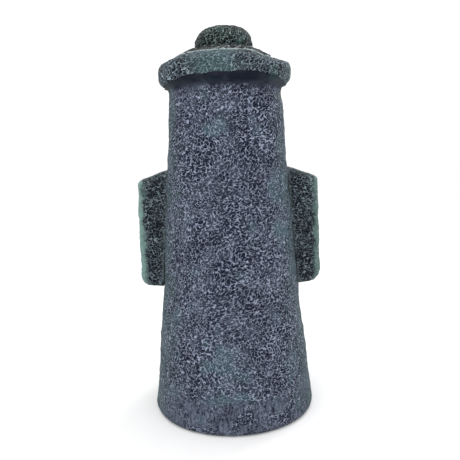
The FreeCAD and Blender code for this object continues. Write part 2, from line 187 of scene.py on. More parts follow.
def mesh_object(name, vertices, faces):
    """A smooth-shaded mesh object in the scene."""
    mesh = bpy.data.meshes.new(name)
    mesh.from_pydata([tuple(v) for v in vertices], [], faces)
    work = bmesh.new()
    work.from_mesh(mesh)
    bmesh.ops.recalc_face_normals(work, faces=work.faces)
    work.to_mesh(mesh)
    work.free()
    mesh.shade_smooth()
    made = bpy.data.objects.new(name, mesh)
    bpy.context.scene.collection.objects.link(made)
    return made


def vertex_rows(mesh, what="co"):
    """A mesh's vertex coordinates, or its vertex normals, as rows of three numbers."""
    numbers = np.zeros(len(mesh.vertices) * 3)
    mesh.vertices.foreach_get(what, numbers)
    return numbers.reshape(-1, 3)


def paint(made, name, rule):
    """Stores a number per vertex for the material to read; the rule works it out from the coordinates."""
    values = np.clip(rule(vertex_rows(made.data)), 0.0, 1.0).astype(np.float32)
    made.data.attributes.new(name, "FLOAT", "POINT").data.foreach_set("value", values)


def backwards(points):
    """How far a point lies round to the figure's back: 1 at the back, -1 in front."""
    return points[..., 1] / np.maximum(np.hypot(points[..., 0], points[..., 1]), 1e-9)


def tree_of(node):
    """A search tree over a CAD node's faces."""
    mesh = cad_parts[node].data
    corners = [v.co.copy() for v in mesh.vertices]
    return BVHTree.FromPolygons(corners, [tuple(p.vertices) for p in mesh.polygons])


def rounded(corners, steps=9):
    """A profile of (radius, height, rounding) corners with each rounded corner turned into an arc."""
    spots = [np.array(corner[:2]) for corner in corners]
    profile = []
    for i, (spot, rounding) in enumerate(zip(spots, (corner[2] for corner in corners))):
        if rounding == 0:
            profile.append(spot)
            continue
        back = spots[i - 1] - spot
        ahead = spots[i + 1] - spot
        back = back / np.linalg.norm(back)
        ahead = ahead / np.linalg.norm(ahead)
        half = math.acos(float(back @ ahead)) / 2
        bisector = (back + ahead) / np.linalg.norm(back + ahead)
        centre = spot + bisector * (rounding / math.sin(half))
        first = spot + back * (rounding / math.tan(half)) - centre
        last = spot + ahead * (rounding / math.tan(half)) - centre
        for t in np.linspace(0.0, 1.0, steps):
            turn = t * (math.pi - 2 * half)
            part = math.sin(math.pi - 2 * half)
            along = first * math.sin(math.pi - 2 * half - turn) + last * math.sin(turn)
            profile.append(centre + along / part)
    return profile


def resampled(corners, step):
    """A profile with points added so that none are further apart than step."""
    points = [corners[0]]
    for (r0, z0), (r1, z1) in zip(corners, corners[1:]):
        count = max(1, math.ceil(math.hypot(r1 - r0, z1 - z0) / step))
        for i in range(1, count + 1):
            points.append((r0 + (r1 - r0) * i / count, z0 + (z1 - z0) * i / count))
    return np.array(points)


# ---------------------------------------------------------------- the trunk

# Where green-grey wash pooled on the trunk's back, in millimetres: each pool's middle across and up, and
# its half width and half height.
WASH_POOLS = ((8, 223, 11, 10), (-35, 180, 10, 15), (-38, 145, 10, 13), (9, 55, 16, 20), (9, 28, 26, 7))


def measured_radii(tree, heights, columns):
    """The trunk's outer radius at each height and angle, by a ray from outside towards the axis."""
    reach = 0.12
    radii = np.zeros((len(heights), columns))
    for c, angle in enumerate(ring_angles(columns)):
        outward = Vector((math.sin(angle), -math.cos(angle), 0.0))
        for r, height in enumerate(heights):
            start = outward * reach + Vector((0, 0, height))
            hit = tree.ray_cast(start, -outward)
            radii[r, c] = reach - hit[3]
    return radii


def angle_from_front(columns):
    """Each column's angle in degrees, from -180 to 180, 0 at the front."""
    degrees = np.degrees(ring_angles(columns))
    return np.where(degrees > 180, degrees - 360, degrees)[None, :]


def carve_face(radii, heights, columns):
    """Adds the carving's finer lines to the radii: lids, brows, mouth, smile, breast bone and ears."""
    side = np.abs(angle_from_front(columns))
    up = heights[:, None] / MM
    lid_arch = 4.0 * np.cos(np.radians((side - EYE_ANGLE) * 5))
    brow_arch = 2.5 * np.cos(np.radians(side * 3.2))
    lid_fold = bump(side, EYE_ANGLE, 17.0) * bump(up - lid_arch, LID_HEIGHT, 1.7)
    mouth_line = smooth_step(19.0, 14.0, side) * bump(up + 0.02 * side**1.4, MOUTH_HEIGHT, 1.6)
    smile_line = bump(side - (216.0 - up) * 0.75, 17.0, 3.2) * bump(up, 207.0, 10.0)
    lip_hollow = bump(side, 0.0, 3.0) * bump(up, LIP_HOLLOW_HEIGHT, 3.4)
    breast_bone = bump(side, 0.0, 5.0) * bump(up, BREAST_HEIGHT, 20.0)
    brow_line = bump(side, 0.0, 46.0) * bump(up - brow_arch, BROW_HEIGHT, 1.6)
    grooves = 1.0 * lid_fold + 1.7 * mouth_line + 1.1 * smile_line + 0.9 * lip_hollow
    grooves = grooves + 0.7 * breast_bone + 0.8 * brow_line
    from_ear = np.hypot((side - EAR_ANGLE) / 7.0, (up - EAR_HEIGHT) / 14.0)
    ear = 1.5 * bump(from_ear, 0.82, 0.42) - 1.3 * smooth_step(0.62, 0.2, from_ear)
    return radii + (ear - grooves) * MM


def trunk_relief(points, heights, columns):
    """How far the trunk's skin stands out from its carved shape at each point, in metres."""
    back = smooth_step(60.0, 100.0, np.abs(angle_from_front(columns)))
    swell = lumps(points, 46 * MM, 1) * 0.75 + lumps(points, 19 * MM, 2) * 0.4
    knobbly = lumps(points, 6.5 * MM, 3) * 0.28 + lumps(points, 3.2 * MM, 4) * 0.2
    up = heights[:, None] / MM
    smooth_foot = 1.0 - 0.6 * smooth_step(FOOT_BAND_HEIGHT, 14.0, up)
    ends = smooth_step(2.0, 5.0, up) * smooth_step(248.0, 243.0, up)
    return (swell * (0.35 + 0.65 * back) * ends + knobbly * smooth_foot) * MM


def looked_up(values, heights, columns):
    """A rule that reads a map of the trunk's skin at each point's height and angle."""

    def rule(points):
        angle = np.arctan2(points[:, 0], -points[:, 1]) % (2 * math.pi)
        column = np.round(angle / (2 * math.pi) * columns).astype(int) % columns
        row = np.interp(points[:, 2], heights[::-1], np.arange(len(heights))[::-1])
        return values[np.round(row).astype(int), column]

    return rule


def pooled_wash(points):
    """How much green-grey wash lies at each point of the trunk's back."""
    across, up = points[:, 0] / MM, points[:, 2] / MM
    ragged = lumps(points, 8 * MM, 84) * 0.35
    amount = np.zeros(len(points))
    for x, z, width, height in WASH_POOLS:
        reach = np.hypot((across - x) / width, (up - z) / height) + ragged
        amount = np.maximum(amount, smooth_step(1.0, 0.3, reach))
    return amount * (points[:, 1] > 0) * 0.8


def trunk_inside(tree, foot, top, shoulder):
    """The rings before the skin, from the dowel's bore over the head, and those after it, up the hollow."""
    plate_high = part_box("base_plate")[1]
    dowel_low, dowel_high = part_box("hat_dowel")
    bore = dowel_high.x
    seat = plate_high.x
    hollow_top = tree.ray_cast(Vector((0, 0, plate_high.z)), Vector((0, 0, 1)))[3] + plate_high.z
    inner_low = tree.ray_cast(Vector((0, 0, plate_high.z + MM)), Vector((0, 1, 0)))[3]
    inner_high = tree.ray_cast(Vector((0, 0, hollow_top - MM)), Vector((0, 1, 0)))[3]
    head = resampled([(bore, dowel_low.z), (bore, top), (shoulder, top)], 6 * MM)
    inside = resampled(
        [
            (seat, foot),
            (seat, plate_high.z),
            (inner_low, plate_high.z),
            (inner_high, hollow_top),
        ],
        12 * MM,
    )
    return [rings(part[:, :1], part[:, 1], TRUNK_COLUMNS) for part in (head, inside)]


def mark_trunk(trunk, radii, heights, top):
    """Stores the trunk's marks: wash, brush strokes, smoothed places, and the carving's painted highlight
    and painted shade.
    """

    def smoothed_neck(points):
        edge = top + (1.5 + 2.5 * lumps(points, 17 * MM, 81) + lumps(points, 6 * MM, 82)) * MM
        return smooth_step(edge - 5 * MM, edge, points[:, 2]) * 0.7

    def foot_band(points):
        edge = (FOOT_BAND_HEIGHT + 2.0 * lumps(points, 20 * MM, 83)) * MM
        kept = smooth_step(-0.9, 0.5, lumps(points, 15 * MM, 87))
        return smooth_step(edge + 6 * MM, edge - 6 * MM, points[:, 2]) * kept

    # On the front, the carving's hollows are darkened with painted shade and its high parts are painted
    # pale, partly as rubbed paint and partly as painted highlight.
    front = smooth_step(88.0, 72.0, np.abs(angle_from_front(TRUNK_COLUMNS)))
    fine, broad = blurred(radii, 12), blurred(radii, 60)
    hollow = (0.6 * (fine - radii) + 0.6 * (broad - radii)) / MM * front
    face = front * smooth_step(CHIN_HEIGHT, CHIN_HEIGHT + 6.0, heights / MM)[:, None]
    calm = looked_up(face * 0.6, heights, TRUNK_COLUMNS)
    paint(trunk, "quiet", lambda p: np.maximum(smoothed_neck(p), calm(p)))
    paint(trunk, "shade", looked_up(smooth_step(0.15, 1.7, hollow), heights, TRUNK_COLUMNS))
    paint(trunk, "pale", looked_up(smooth_step(0.2, 2.0, -hollow) * 0.38, heights, TRUNK_COLUMNS))
    paint(trunk, "bloomed", pooled_wash)
    paint(trunk, "strokes", foot_band)


def make_trunk():
    """The hollow trunk: its outside measured on the CAD trunk and carved further, its inside plain."""
    tree = tree_of("trunk_shell")
    foot, top = (corner.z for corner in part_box("trunk_shell"))
    rows = int((top - foot) / TRUNK_ROW_STEP)
    heights = np.linspace(top - 0.02 * MM, foot + 0.02 * MM, rows)
    radii = measured_radii(tree, heights, TRUNK_COLUMNS)
    # The pegs' holes in the sides are unseen under the arms, so the plain round of the back covers them.
    plain_round = radii[:, TRUNK_COLUMNS // 2][:, None]
    at_side = np.abs(angle_from_front(TRUNK_COLUMNS)) > 60.0
    radii = np.where(at_side, np.maximum(radii, plain_round), radii)
    radii = blurred(radii, 2)
    radii = carve_face(radii, heights, TRUNK_COLUMNS)
    skin = rings(radii, heights, TRUNK_COLUMNS)
    outward = rings(np.ones((1, 1)), [0.0], TRUNK_COLUMNS)
    skin = skin + outward * trunk_relief(skin, heights, TRUNK_COLUMNS)[..., None]
    head, inside = trunk_inside(tree, foot, top, radii[0].min() - MM)
    trunk = woven("trunk", np.vstack([head, skin, inside]))
    mark_trunk(trunk, radii, heights, top)
    return trunk


# ---------------------------------------------------------------- the hat


def turned_skin(name, outline, relief, shown, step=HAT_STEP):
    """A turned piece, pushed out by relief where shown(r, z). Its outline runs upwards on the outside."""
    profile = resampled(outline, step)
    points = rings(profile[:, :1], profile[:, 1], HAT_COLUMNS)
    weight = np.array([shown(r, z) for r, z in profile])[:, None]
    push = relief(points) * weight
    points = points + ring_normals(points) * push[..., None]
    return woven(name, points)


def stone_relief(swell, grain, seed):
    """Relief of cast stone: broad swells and a finer grain, each an amount in millimetres."""

    def relief(points):
        broad = lumps(points, 22 * MM, seed) * swell + lumps(points, 9 * MM, seed + 1) * swell * 0.5
        fine = lumps(points, 3.6 * MM, seed + 2) * grain + lumps(points, 2.1 * MM, seed + 3) * grain * 0.6
        return (broad + fine) * MM

    return relief


def sink_worn_side(made, top, depth):
    """Lowers a hat piece on the figure's right, where it is worn, by up to depth near the height top."""
    points = vertex_rows(made.data)
    side = smooth_step(-16 * MM, -31 * MM, points[:, 0]) * smooth_step(-57 * MM, -35 * MM, points[:, 0])
    points[:, 2] -= depth * side * smooth_step(top - 11 * MM, top - 3 * MM, points[:, 2])
    made.data.vertices.foreach_set("co", points.reshape(-1))


def make_brim():
    """The thick brim: a rolled rim, a top that climbs to the crown, and the recess for the crown."""
    low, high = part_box("hat_brim")
    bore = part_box("hat_dowel")[1].x
    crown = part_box("hat_crown")[1].x
    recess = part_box("hat_crown")[0].z
    outline = rounded(
        [
            (bore, low.z, 0),
            (high.x, low.z, BRIM_ROUNDING),
            (high.x, low.z + BRIM_SIDE, BRIM_ROUNDING),
            (crown + 1.7 * MM, high.z - 0.6 * MM, 0),
            (crown + 1.3 * MM, high.z + 0.4 * MM, 0.4 * MM),
            (crown + 0.1 * MM, high.z + 0.4 * MM, 0.4 * MM),
            (crown + 0.1 * MM, recess, 0),
            (bore, recess, 0),
        ]
    )

    def shown(r, z):
        return float(r > crown + 2.1 * MM) * float(smooth_step(low.z + 4 * MM, low.z + 9 * MM, z))

    def lip(points):
        radius = np.hypot(points[:, 0], points[:, 1])
        return smooth_step(crown + 2.0 * MM, crown + 1.4 * MM, radius) * (points[:, 2] > high.z - 4 * MM)

    def pooled(points):
        ragged = lumps(points, 8 * MM, 85) * 3 * MM + lumps(points, 3 * MM, 86) * 2 * MM
        middle = smooth_step(23 * MM, 3 * MM, np.abs(points[:, 0] - 7 * MM) + ragged)
        return middle * (points[:, 1] > 0) * 0.6

    brim = turned_skin("brim", outline, stone_relief(0.45, 0.26, 11), shown)
    sink_worn_side(brim, high.z, BRIM_WORN)
    paint(brim, "pale", lip)
    paint(brim, "bloomed", pooled)
    return brim


def make_crown():
    """The low crown between the brim and the knob."""
    low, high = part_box("hat_crown")
    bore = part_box("hat_dowel")[1].x
    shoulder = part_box("hat_brim")[1].z
    outline = rounded(
        [
            (bore, low.z, 0),
            (high.x, low.z, 0),
            (high.x, shoulder + 0.4 * MM, MM),
            (CROWN_TOP, high.z, 2 * MM),
            (bore, high.z, 0),
        ]
    )
    crown = turned_skin(
        "crown",
        outline,
        stone_relief(0.3, 0.35, 21),
        lambda r, z: float(z > shoulder + 0.2 * MM and r > CROWN_TOP - 4 * MM),
    )
    sink_worn_side(crown, shoulder, CROWN_WORN)
    # Painted shadow over the groove, broken into random patches so pale dashes show between.
    paint(crown, "shade", lambda p: smooth_step(-0.5, 0.05, lumps(p, 2.6 * MM, 91)))
    return crown


def make_knob():
    """The round knob, bored from below for the dowel."""
    low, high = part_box("hat_knob")
    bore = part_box("hat_dowel")[1].x
    bore_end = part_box("hat_dowel")[1].z
    outline = rounded(
        [
            (bore, bore_end, 0),
            (bore, low.z, 0),
            (high.x - 1.2 * MM, low.z, 0),
            (high.x, low.z + 2.2 * MM, 2 * MM),
            (high.x, high.z, KNOB_ROUNDING),
            (0.4 * MM, high.z, 0),
        ]
    )
    return turned_skin(
        "knob",
        outline,
        stone_relief(0.35, 0.3, 31),
        lambda r, z: float(z > low.z + 0.4 * MM and (r > bore + MM or z > bore_end + MM)),
    )


def make_bed():
    """The mortar fillet under the brim, smeared by hand up over the rim at the back."""
    low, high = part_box("hat_bed")
    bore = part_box("hat_dowel")[1].x
    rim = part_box("hat_brim")[1].x
    angle = ring_angles(HAT_COLUMNS)
    around = np.stack([np.sin(angle), -np.cos(angle), 0 * angle], axis=-1) * rim
    back = smooth_step(0.25, 0.95, backwards(around))
    wander = lumps(around, 19 * MM, 41) * 0.7 + lumps(around, 7 * MM, 42) * 0.5
    pressed = bump(around[:, 0], -17 * MM, 15 * MM) * back
    reach = np.radians(-66.0 + 46.0 * back + 8.0 * wander + 9.0 * pressed)
    cover = BRIM_ROUNDING + (0.75 + 0.3 * wander) * MM
    middle_r, middle_z = rim - BRIM_ROUNDING, high.z + BRIM_ROUNDING

    def over_rounding(angle):
        return middle_r + cover * np.cos(angle), middle_z + cover * np.sin(angle)

    # From the trunk's skin round a cove, then up over the brim's lower rounding.
    foot = NECK_RADIUS + 0.1 * MM, low.z - (1.2 + 0.8 * lumps(around, 12 * MM, 43)) * MM
    cove = NECK_RADIUS + 0.5 * MM, high.z - 0.8 * MM + 0.3 * MM * wander
    meeting = np.radians(-78.0)
    touch = over_rounding(meeting)
    curve = []
    for t in np.linspace(0.0, 1.0, 10):
        weights = ((1 - t) ** 2, 2 * t * (1 - t), t * t)
        radius = weights[0] * foot[0] + weights[1] * cove[0] + weights[2] * touch[0]
        height = weights[0] * foot[1] + weights[1] * cove[1] + weights[2] * touch[1]
        curve.append((radius, height))
    for t in np.linspace(0.12, 1.0, 9):
        curve.append(over_rounding(meeting + t * (reach - meeting)))
    end_r, end_z = curve[-1]
    tucked = end_r - 1.6 * MM, end_z + 0.2 * MM
    flat = np.ones(HAT_COLUMNS)
    start = [(bore * flat, low.z * flat), ((foot[0] - 2 * MM) * flat, (low.z - 0.6 * MM) * flat)]
    end = [tucked, ((rim - 9 * MM) * flat, (high.z + 0.3 * MM) * flat), (bore * flat, high.z * flat)]
    rows = start + curve + end
    radii = np.stack([row[0] for row in rows])
    heights = np.stack([row[1] for row in rows])
    points = np.stack([radii * np.sin(angle), -radii * np.cos(angle), heights], axis=-1)
    bed = woven("bed", points)

    def smoothed(points):
        height = points[:, 2] + lumps(points, 8 * MM, 44) * MM
        return 0.2 + 0.8 * smooth_step(low.z, low.z + 3.5 * MM, height)

    paint(bed, "quiet", smoothed)
    # Painted shade under the brim, darker towards the top.
    paint(bed, "shade", lambda p: smooth_step(low.z, high.z + 4 * MM, p[:, 2]) * 0.6)
    return bed


# ---------------------------------------------------------------- arms and base


def hollows(mesh, points, normals, steps):
    """How far each vertex lies below the mesh smoothed that many times, in millimetres."""
    edges = np.zeros(len(mesh.edges) * 2, dtype=int)
    mesh.edges.foreach_get("vertices", edges)
    one, other = edges[::2], edges[1::2]
    count = len(points)
    neighbours = np.bincount(one, minlength=count) + np.bincount(other, minlength=count)
    smoothed = points
    for _ in range(steps):
        total = np.zeros_like(smoothed)
        for axis in range(3):
            total[:, axis] += np.bincount(one, smoothed[other, axis], count)
            total[:, axis] += np.bincount(other, smoothed[one, axis], count)
        smoothed = total / neighbours[:, None]
    return np.sum((smoothed - points) * normals, axis=1) / MM


def make_arm(node, seed, rubbing):
    """An arm remeshed from its CAD node, softened, roughened, and its outer edge rubbed by that much."""
    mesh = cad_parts[node].data.copy()
    arm = bpy.data.objects.new(node.replace("_arm", "_sleeve"), mesh)
    bpy.context.scene.collection.objects.link(arm)
    remesh = arm.modifiers.new("remesh", "REMESH")
    remesh.mode = "VOXEL"
    remesh.voxel_size = ARM_VOXEL
    soften = arm.modifiers.new("soften", "SMOOTH")
    soften.iterations = 4
    soften.factor = 0.5
    graph = bpy.context.evaluated_depsgraph_get()
    arm.data = bpy.data.meshes.new_from_object(arm.evaluated_get(graph))
    arm.modifiers.clear()
    points, normals = vertex_rows(arm.data), vertex_rows(arm.data, "normal")
    hollow = hollows(arm.data, points, normals, 24)
    swell = lumps(points, 17 * MM, seed) * 0.45 + lumps(points, 7 * MM, seed + 1) * 0.3
    grain = lumps(points, 2.8 * MM, seed + 2) * 0.22
    points = points + normals * ((swell + grain) * MM)[:, None]
    arm.data.vertices.foreach_set("co", points.reshape(-1))
    arm.data.shade_smooth()
    low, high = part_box(node)
    reach = max(high.x, -low.x)

    def rubbed_edge(points):
        ragged = lumps(points, 9 * MM, seed + 3) * 1.6 * MM + lumps(points, 3 * MM, seed + 4) * MM
        outer = smooth_step(reach - 7.0 * MM, reach - 2.4 * MM, np.abs(points[:, 0]) + ragged)
        near_back = smooth_step(high.y - 10 * MM, high.y - 3 * MM, points[:, 1])
        broad = smooth_step(-14 * MM, -2 * MM, points[:, 1])
        return outer * (0.35 * broad + 0.65 * near_back) * rubbing

    hands = smooth_step(2 * MM, -10 * MM, points[:, 1])
    paint(arm, "bloomed", rubbed_edge)
    paint(arm, "quiet", lambda p: hands * 0.5)
    # Painted shade in the hollows and creases, such as between the fingers.
    paint(arm, "shade", lambda p: smooth_step(0.05, 0.7, hollow))
    # Convex edges rubbed pale, and on the hands also a painted highlight on raised parts.
    paint(arm, "pale", lambda p: smooth_step(0.15, 0.9, -hollow) * (0.25 + 0.3 * hands))
    return arm


def make_felt():
    """The felt disc, with a softly frayed rim."""
    low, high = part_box("base_felt")
    inner = 0.4 * MM
    outline = rounded(
        [
            (inner, low.z, 0),
            (high.x, low.z, 0.4 * MM),
            (high.x, high.z, 0.4 * MM),
            (inner, high.z, 0),
        ]
    )

    def relief(points):
        return (lumps(points, 2.4 * MM, 51) * 0.2 - 0.2) * MM

    return turned_skin("felt", outline, relief, lambda r, z: float(low.z < z < high.z), FELT_STEP)


# ---------------------------------------------------------------- materials


class Nodes:
    """A short hand for a material's node tree. Sizes are in millimetres."""

    def __init__(self, name):
        self.material = bpy.data.materials.new(name)
        self.material.use_nodes = True
        self.tree = self.material.node_tree
        self.tree.nodes.clear()
        place = self.add("ShaderNodeTexCoord").outputs["Object"]
        self.place = self.vector("SCALE", place, scale=1.0 / MM)

    def add(self, kind, **settings):
        node = self.tree.nodes.new(kind)
        for key, value in settings.items():
            setattr(node, key, value)
        return node

    def feed(self, socket, value):
        """Joins a socket to another socket, or sets its value."""
        if isinstance(value, bpy.types.NodeSocket):
            self.tree.links.new(value, socket)
        else:
            socket.default_value = value

    def mark(self, name):
        """A number stored on the piece's vertices, or 0 where the piece has none."""
        return self.add("ShaderNodeAttribute", attribute_name=name).outputs["Fac"]

    def vector(self, operation, a, b=None, scale=None):
        node = self.add("ShaderNodeVectorMath", operation=operation)
        self.feed(node.inputs[0], a)
        if b is not None:
            self.feed(node.inputs[1], b)
        if scale is not None:
            self.feed(node.inputs["Scale"], scale)
        return node.outputs["Vector"]

    def math(self, operation, a, b=0.0, clamp=False):
        node = self.add("ShaderNodeMath", operation=operation, use_clamp=clamp)
        self.feed(node.inputs[0], a)
        self.feed(node.inputs[1], b)
        return node.outputs[0]

    def noise(self, size, detail=0.0, rough=0.5, place=None, shift=0.0):
        """Noise about 0 to 1 whose features are about size wide."""
        node = self.add("ShaderNodeTexNoise")
        self.feed(node.inputs["Vector"], self.vector("ADD", place or self.place, (shift, shift, shift)))
        self.feed(node.inputs["Scale"], 1.0 / size)
        self.feed(node.inputs["Detail"], detail)
        self.feed(node.inputs["Roughness"], rough)
        return node

    def ramp(self, value, low, high, start=0.0, end=1.0):
        """A smooth ramp of a value between two limits."""
        node = self.add("ShaderNodeMapRange", interpolation_type="SMOOTHSTEP")
        self.feed(node.inputs["Value"], value)
        self.feed(node.inputs["From Min"], low)
        self.feed(node.inputs["From Max"], high)
        self.feed(node.inputs["To Min"], start)
        self.feed(node.inputs["To Max"], end)
        return node.outputs["Result"]

    def mix(self, amount, a, b):
        """Colour a where the amount is 0 and b where it is 1."""
        node = self.add("ShaderNodeMix", data_type="RGBA")
        self.feed(node.inputs["Factor"], amount)
        self.feed(node.inputs["A"], a)
        self.feed(node.inputs["B"], b)
        return node.outputs["Result"]

    def finish(self, colour, roughness, height, depth, specular=0.12):
        """Ends the tree in a lit surface whose bump is depth millimetres where height goes from 0 to 1."""
        surface = self.add("ShaderNodeBsdfPrincipled")
        self.feed(surface.inputs["Base Color"], colour)
        self.feed(surface.inputs["Roughness"], roughness)
        self.feed(surface.inputs["Specular IOR Level"], specular)
        bumped = self.add("ShaderNodeBump")
        self.feed(bumped.inputs["Height"], height)
        self.feed(bumped.inputs["Distance"], depth * MM)
        self.tree.links.new(bumped.outputs["Normal"], surface.inputs["Normal"])
        out = self.add("ShaderNodeOutputMaterial")
        self.tree.links.new(surface.outputs["BSDF"], out.inputs["Surface"])
        return self.material


def srgb(red, green, blue):
    """A colour given as the 0 to 255 values of a screen, as linear light."""

    def linear(value):
        value /= 255.0
        return value / 12.92 if value <= 0.04045 else ((value + 0.055) / 1.055) ** 2.4

    return (linear(red), linear(green), linear(blue), 1.0)


# The pale of rubbed paint, also used as a painted highlight on raised carving, and the near-black of
# painted shade.
RUBBED_PALE_AND_HIGHLIGHT = srgb(172, 187, 188)
PAINTED_SHADE = srgb(14, 17, 24)


def wrinkle_threads(n, size, width):
    """The fine raised threads of the cast skin, from 0 between them to 1 on them.

    They curl in some patches, lie more across the piece in others, and slant in the rest.
    """
    place = n.place
    # Each warp: the width of its waves, how far they push, and the noise's shift.
    warps = ((30.0, 14.0, 90.0), (4.2 * size, 3.4 * size, 0.0), (1.8 * size, 1.1 * size, 7.0))
    for spread, reach, shift in warps:
        warp = n.noise(spread, detail=1.0, shift=shift).outputs["Color"]
        warp = n.vector("SCALE", n.vector("SUBTRACT", warp, (0.5, 0.5, 0.5)), scale=reach)
        place = n.vector("ADD", place, warp)
    slanted = n.add("ShaderNodeVectorRotate", rotation_type="Y_AXIS")
    n.feed(slanted.inputs["Vector"], place)
    n.feed(slanted.inputs["Angle"], math.radians(-38.0))
    across = n.vector("MULTIPLY", place, (0.6, 0.6, 1.2))
    slanting = n.vector("MULTIPLY", slanted.outputs["Vector"], (0.5, 0.8, 1.25))
    families = []
    # Each family runs along the edges of its own cells: their place, width and shift.
    for source, cell, shift in ((place, 3.0, 11.0), (across, 2.8, 51.0), (slanting, 2.8, 71.0)):
        cells = n.add("ShaderNodeTexVoronoi", feature="DISTANCE_TO_EDGE")
        n.feed(cells.inputs["Vector"], n.vector("ADD", source, (shift, shift, shift)))
        n.feed(cells.inputs["Scale"], 1.0 / (cell * size))
        families.append(n.ramp(cells.outputs["Distance"], 0.16 * width, 0.07 * width))
    threads, lying, leaning = families
    for family, shift in ((lying, 120.0), (leaning, 140.0)):
        patch = n.noise(17.0, detail=1.0, shift=shift).outputs["Fac"]
        threads = n.mix(n.ramp(patch, 0.5, 0.56), threads, family)
    broken = n.noise(2.5 * size, detail=1.0, rough=0.6, shift=160.0).outputs["Fac"]
    return n.math("MULTIPLY", threads, n.ramp(broken, 0.38, 0.52, 0.08, 1.0))


def stone(name, ground, thread, rim_wash_and_sheen, wash, rim_wash_and_sheen_from, size=1.0, smear=0.5, width=1.0, haze=0.1):
    """Painted cast stone: a dark ground, pale rubbed threads, and a green-grey wash and painted rim sheen
    on turned-away faces.

    A piece may carry marks: "quiet" where the threads are smoothed over, "strokes" where the surface was
    brushed upright, "bloomed" where green-grey wash pooled, "pale" where an edge is rubbed bare or a raised
    part carries a painted highlight, and "shade" for painted shade in hollows, creases and under overhangs.
    """
    n = Nodes(name)
    quiet, strokes = n.mark("quiet"), n.mark("strokes")
    threads = wrinkle_threads(n, size, width)
    upright = n.vector("MULTIPLY", n.place, (1.0, 1.0, 0.26))
    brushed = n.noise(1.7, detail=3.0, rough=0.7, place=upright, shift=4.0).outputs["Fac"]
    brushed = n.math("MULTIPLY", n.ramp(brushed, 0.36, 0.7), 0.42)
    unbrushed = n.math("SUBTRACT", 1.0, n.math("MULTIPLY", strokes, 0.65))
    threads = n.math("MULTIPLY", threads, unbrushed)
    threads = n.math("MAXIMUM", threads, n.math("MULTIPLY", brushed, strokes))
    threads = n.math("MULTIPLY", threads, n.math("SUBTRACT", 1.0, quiet))

    patch = n.noise(26.0, detail=2.0, shift=3.0).outputs["Fac"]
    rubbed = n.math("MULTIPLY", threads, n.ramp(patch, 0.34, 0.6, 0.8, 1.0))
    hazed = n.ramp(n.noise(14.0, detail=3.0, shift=9.0).outputs["Fac"], 0.4, 0.7, 0.0, haze)
    colour = n.mix(rubbed, n.mix(hazed, ground, thread), thread)

    # Faces turned towards the sides, up or down take a green-grey colour, partly a green-grey wash and
    # partly a painted rim sheen.
    normal = n.add("ShaderNodeNewGeometry").outputs["True Normal"]
    turned = n.add("ShaderNodeVectorMath", operation="LENGTH")
    n.feed(turned.inputs[0], n.vector("MULTIPLY", normal, (1.0, 0.0, 1.0)))
    drift = n.noise(15.0, detail=3.0, shift=21.0).outputs["Fac"]
    wander = n.math("MULTIPLY", n.math("SUBTRACT", drift, 0.5), 0.5)
    side = n.ramp(n.math("ADD", turned.outputs["Value"], wander), rim_wash_and_sheen_from[0], rim_wash_and_sheen_from[1])
    smeared = n.noise(19.0, detail=2.0, rough=0.6, shift=44.0).outputs["Fac"]
    worn = n.mix(n.math("MULTIPLY", threads, 0.55), rim_wash_and_sheen, thread)
    colour = n.mix(n.math("MULTIPLY", side, 0.7), colour, worn)
    pooled = n.math("MAXIMUM", n.mark("bloomed"), n.ramp(smeared, 0.58, 0.7, 0.0, smear))
    veiled = n.mix(n.math("MULTIPLY", threads, 0.6), wash, thread)
    colour = n.mix(n.math("MULTIPLY", pooled, 0.6), colour, veiled)

    pits = n.ramp(n.noise(1.9 * size, detail=1.0, shift=66.0).outputs["Fac"], 0.62, 0.7)
    colour = n.mix(n.math("MULTIPLY", pits, 0.5), colour, ground)
    chipped = n.ramp(n.noise(2.6, detail=2.0, shift=71.0).outputs["Fac"], 0.36, 0.52)
    # Places marked pale turn pale: partly rubbed paint, partly a painted highlight on raised parts.
    colour = n.mix(n.math("MULTIPLY", n.mark("pale"), chipped), colour, RUBBED_PALE_AND_HIGHLIGHT)
    # Places marked for shade are darkened: painted shade in hollows, creases and under overhangs.
    colour = n.mix(n.math("MULTIPLY", n.mark("shade"), 0.85), colour, PAINTED_SHADE)
    height = n.math("SUBTRACT", n.math("MULTIPLY", threads, 0.8), n.math("MULTIPLY", pits, 0.6))
    roughness = n.ramp(threads, 0.0, 1.0, 0.72, 0.58)
    return n.finish(colour, roughness, height, 0.55)


def plain(name, dark, pale, size, roughness, depth, stretch=(1.0, 1.0, 1.0)):
    """A quieter mottled surface: felt, board or wood."""
    n = Nodes(name)
    place = n.vector("MULTIPLY", n.place, stretch)
    broad = n.noise(size, detail=3.0, rough=0.6, place=place).outputs["Fac"]
    fine = n.noise(size * 0.2, detail=2.0, place=place, shift=8.0).outputs["Fac"]
    shade = n.math("ADD", n.math("MULTIPLY", broad, 0.6), n.math("MULTIPLY", fine, 0.4))
    colour = n.mix(n.ramp(shade, 0.35, 0.65), dark, pale)
    return n.finish(colour, roughness, fine, depth, specular=0.2)


def dress(piece, node, material):
    """Makes a piece stand for its CAD node and gives it its finish."""
    piece.data.materials.clear()
    piece.data.materials.append(material)
    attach(piece, "root")
    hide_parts(node)


